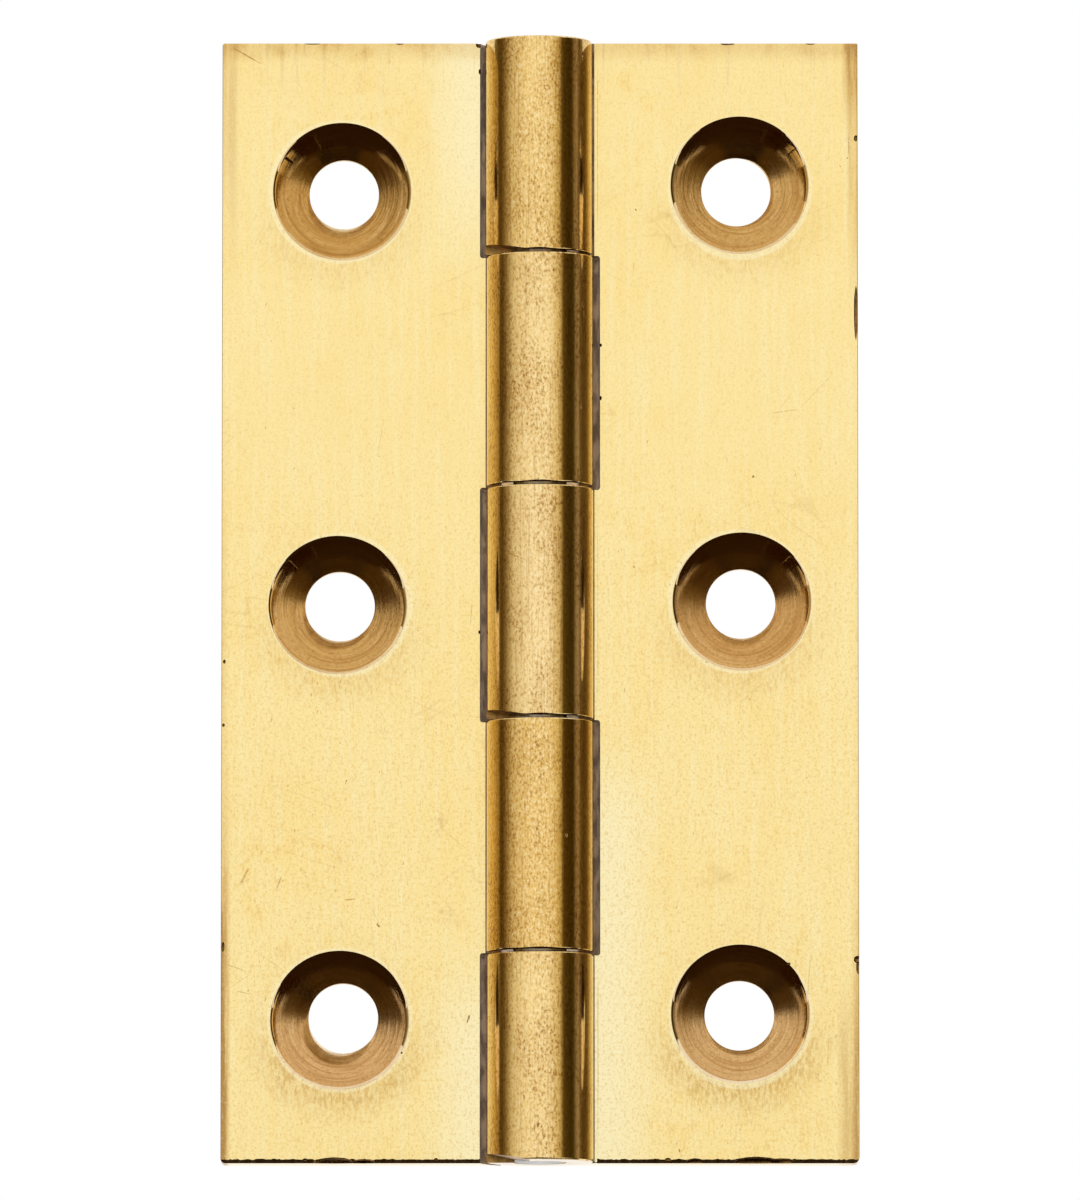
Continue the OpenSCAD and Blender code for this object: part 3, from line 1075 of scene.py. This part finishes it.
def add_surround():
    """A strip of card round the hinge, with the tones of the room to its left and right."""
    bpy.ops.object.select_all(action="DESELECT")
    bpy.ops.mesh.primitive_cylinder_add(
        vertices=180, radius=SURROUND_R, depth=SURROUND_TOP - TABLE_Z, end_fill_type="NOTHING",
        location=(0, 0, (SURROUND_TOP + TABLE_Z) / 2),
    )
    strip = named("surround_card")
    with editing(strip) as mesh:
        bpy.ops.mesh.select_mode(type="FACE")
        for face in mesh.faces:
            middle = face.calc_center_median()
            azimuth = abs(math.degrees(math.atan2(middle.x, -middle.y)))
            face.select_set(not SURROUND_FROM < azimuth < SURROUND_TO)
        bpy.ops.mesh.delete(type="FACE")
    finish, sheet, glow = glowing("surround_card", (1, 1, 1))
    x, y, _ = sheet.split(sheet.add("ShaderNodeTexCoord").outputs["Object"])
    azimuth = sheet.math("ARCTAN2", x, sheet.times(y, -1))
    share = sheet.plus(sheet.times(azimuth, 0.5 / math.radians(SURROUND_TO)), 0.5)
    tones = sheet.add("ShaderNodeValToRGB", {0: share})
    sheet.feed(glow.inputs["Color"], tones.outputs["Color"])
    stops = tones.color_ramp.elements
    for number, (degrees, colour) in enumerate(ROOM):
        stop = stops[number] if number < 2 else stops.new(1)
        stop.position = 0.5 + 0.5 * degrees / SURROUND_TO
        stop.color = (*colour, 1)
    only_in_the_metal(strip, finish)


def add_table():
    """The table that the countersinks reflect: a strip to the camera, and a shelf below."""
    finish, sheet, glow = glowing("table_card", (0, 0, 0))
    place = sheet.add("ShaderNodeTexCoord").outputs["Object"]
    x, y, _ = sheet.split(place)
    away = sheet.vector_math("DISTANCE", sheet.vector(x, y), (0, 0, 0))
    tone = sheet.tint(TABLE_NEAR, sheet.fade(away, 0.3, 0.62), TABLE_BROWN)
    patch = sheet.times(sheet.fade(away, 0.6, 0.71), sheet.fade(away, 0.92, 0.84))
    patch = sheet.times(patch, sheet.fade(sheet.size_of(x), 0.055, 0.035))
    tone = sheet.tint(tone, patch, TABLE_BLACK)
    wood = sheet.times(sheet.fade(away, 0.98, 1.06), sheet.fade(x, 0, 0.02))
    tone = sheet.tint(tone, wood, TABLE_WOOD)
    sheet.feed(glow.inputs["Color"], tone)
    for name, half_wide, front, back in (
        ("table_card", TABLE_HALF_W, -TABLE_R, SHELF_FRONT),
        ("shelf_card", SHELF_HALF_W, SHELF_FRONT, SHELF_BACK),
    ):
        bpy.ops.object.select_all(action="DESELECT")
        middle = (0, (front + back) / 2, TABLE_Z)
        bpy.ops.mesh.primitive_plane_add(size=1, location=middle)
        bpy.context.object.scale = (2 * half_wide, back - front, 1)
        only_in_the_metal(named(name), finish)


def add_floor():
    """A pale paper floor that the hinge stands on, seen only from above."""
    bpy.ops.object.select_all(action="DESELECT")
    bpy.ops.mesh.primitive_plane_add(size=FLOOR_SIZE, location=(0, 0, -HALF_H - FLOOR_BELOW))
    floor = named("floor")
    material = bpy.data.materials.new("floor_paper")
    material.use_nodes = True
    sheet = Sheet(material.node_tree)
    paper = material.node_tree.nodes["Principled BSDF"]
    place = sheet.add("ShaderNodeTexCoord").outputs["Object"]
    fibres = sheet.noise(sheet.vector_math("MULTIPLY", place, (900, 900, 900)), 4, 0.6)
    tone = sheet.tint((0.86, 0.86, 0.85, 1), fibres, (0.9, 0.9, 0.9, 1))
    sheet.feed(paper.inputs["Base Color"], tone)
    paper.inputs["Roughness"].default_value = 0.9
    clear = sheet.add("ShaderNodeBsdfTransparent")
    behind = sheet.add("ShaderNodeNewGeometry").outputs["Backfacing"]
    mix = sheet.add("ShaderNodeMixShader", {0: behind, 1: paper.outputs[0], 2: clear.outputs[0]})
    sheet.feed(material.node_tree.nodes["Material Output"].inputs["Surface"], mix.outputs[0])
    worn(floor, material)
    floor.visible_glossy = False


def add_lamp(name, place, size, watts):
    """A large soft lamp that lights the floor and shows in no metal."""
    data = bpy.data.lights.new(name, "AREA")
    data.size = size
    data.energy = watts
    lamp = bpy.data.objects.new(name, data)
    bpy.context.collection.objects.link(lamp)
    lamp.location = place
    lamp.rotation_euler = (AIM - Vector(place)).to_track_quat("-Z", "Y").to_euler()
    lamp.visible_glossy = False


def add_world():
    """White paper all round for the camera and the metal, and a soft fill for the rest."""
    world = bpy.data.worlds.new("studio")
    bpy.context.scene.world = world
    world.use_nodes = True
    world.node_tree.nodes.clear()
    sheet = Sheet(world.node_tree)
    rays = sheet.add("ShaderNodeLightPath").outputs
    seen_ray = sheet.math("MAXIMUM", rays["Is Camera Ray"], rays["Is Glossy Ray"])
    seen_ray = sheet.math("MAXIMUM", seen_ray, rays["Is Transmission Ray"])
    level = sheet.spread(seen_ray, 0.8, 1)
    back = sheet.add("ShaderNodeBackground", {"Color": (1, 1, 1, 1), "Strength": level})
    sheet.add("ShaderNodeOutputWorld", {"Surface": back.outputs[0]})


add_camera()
add_surround()
add_table()
add_floor()
add_lamp("key_lamp", (-0.5, -0.6, 0.8), 0.5, 2)
add_world()
bpy.context.scene.view_settings.view_transform = "Standard"
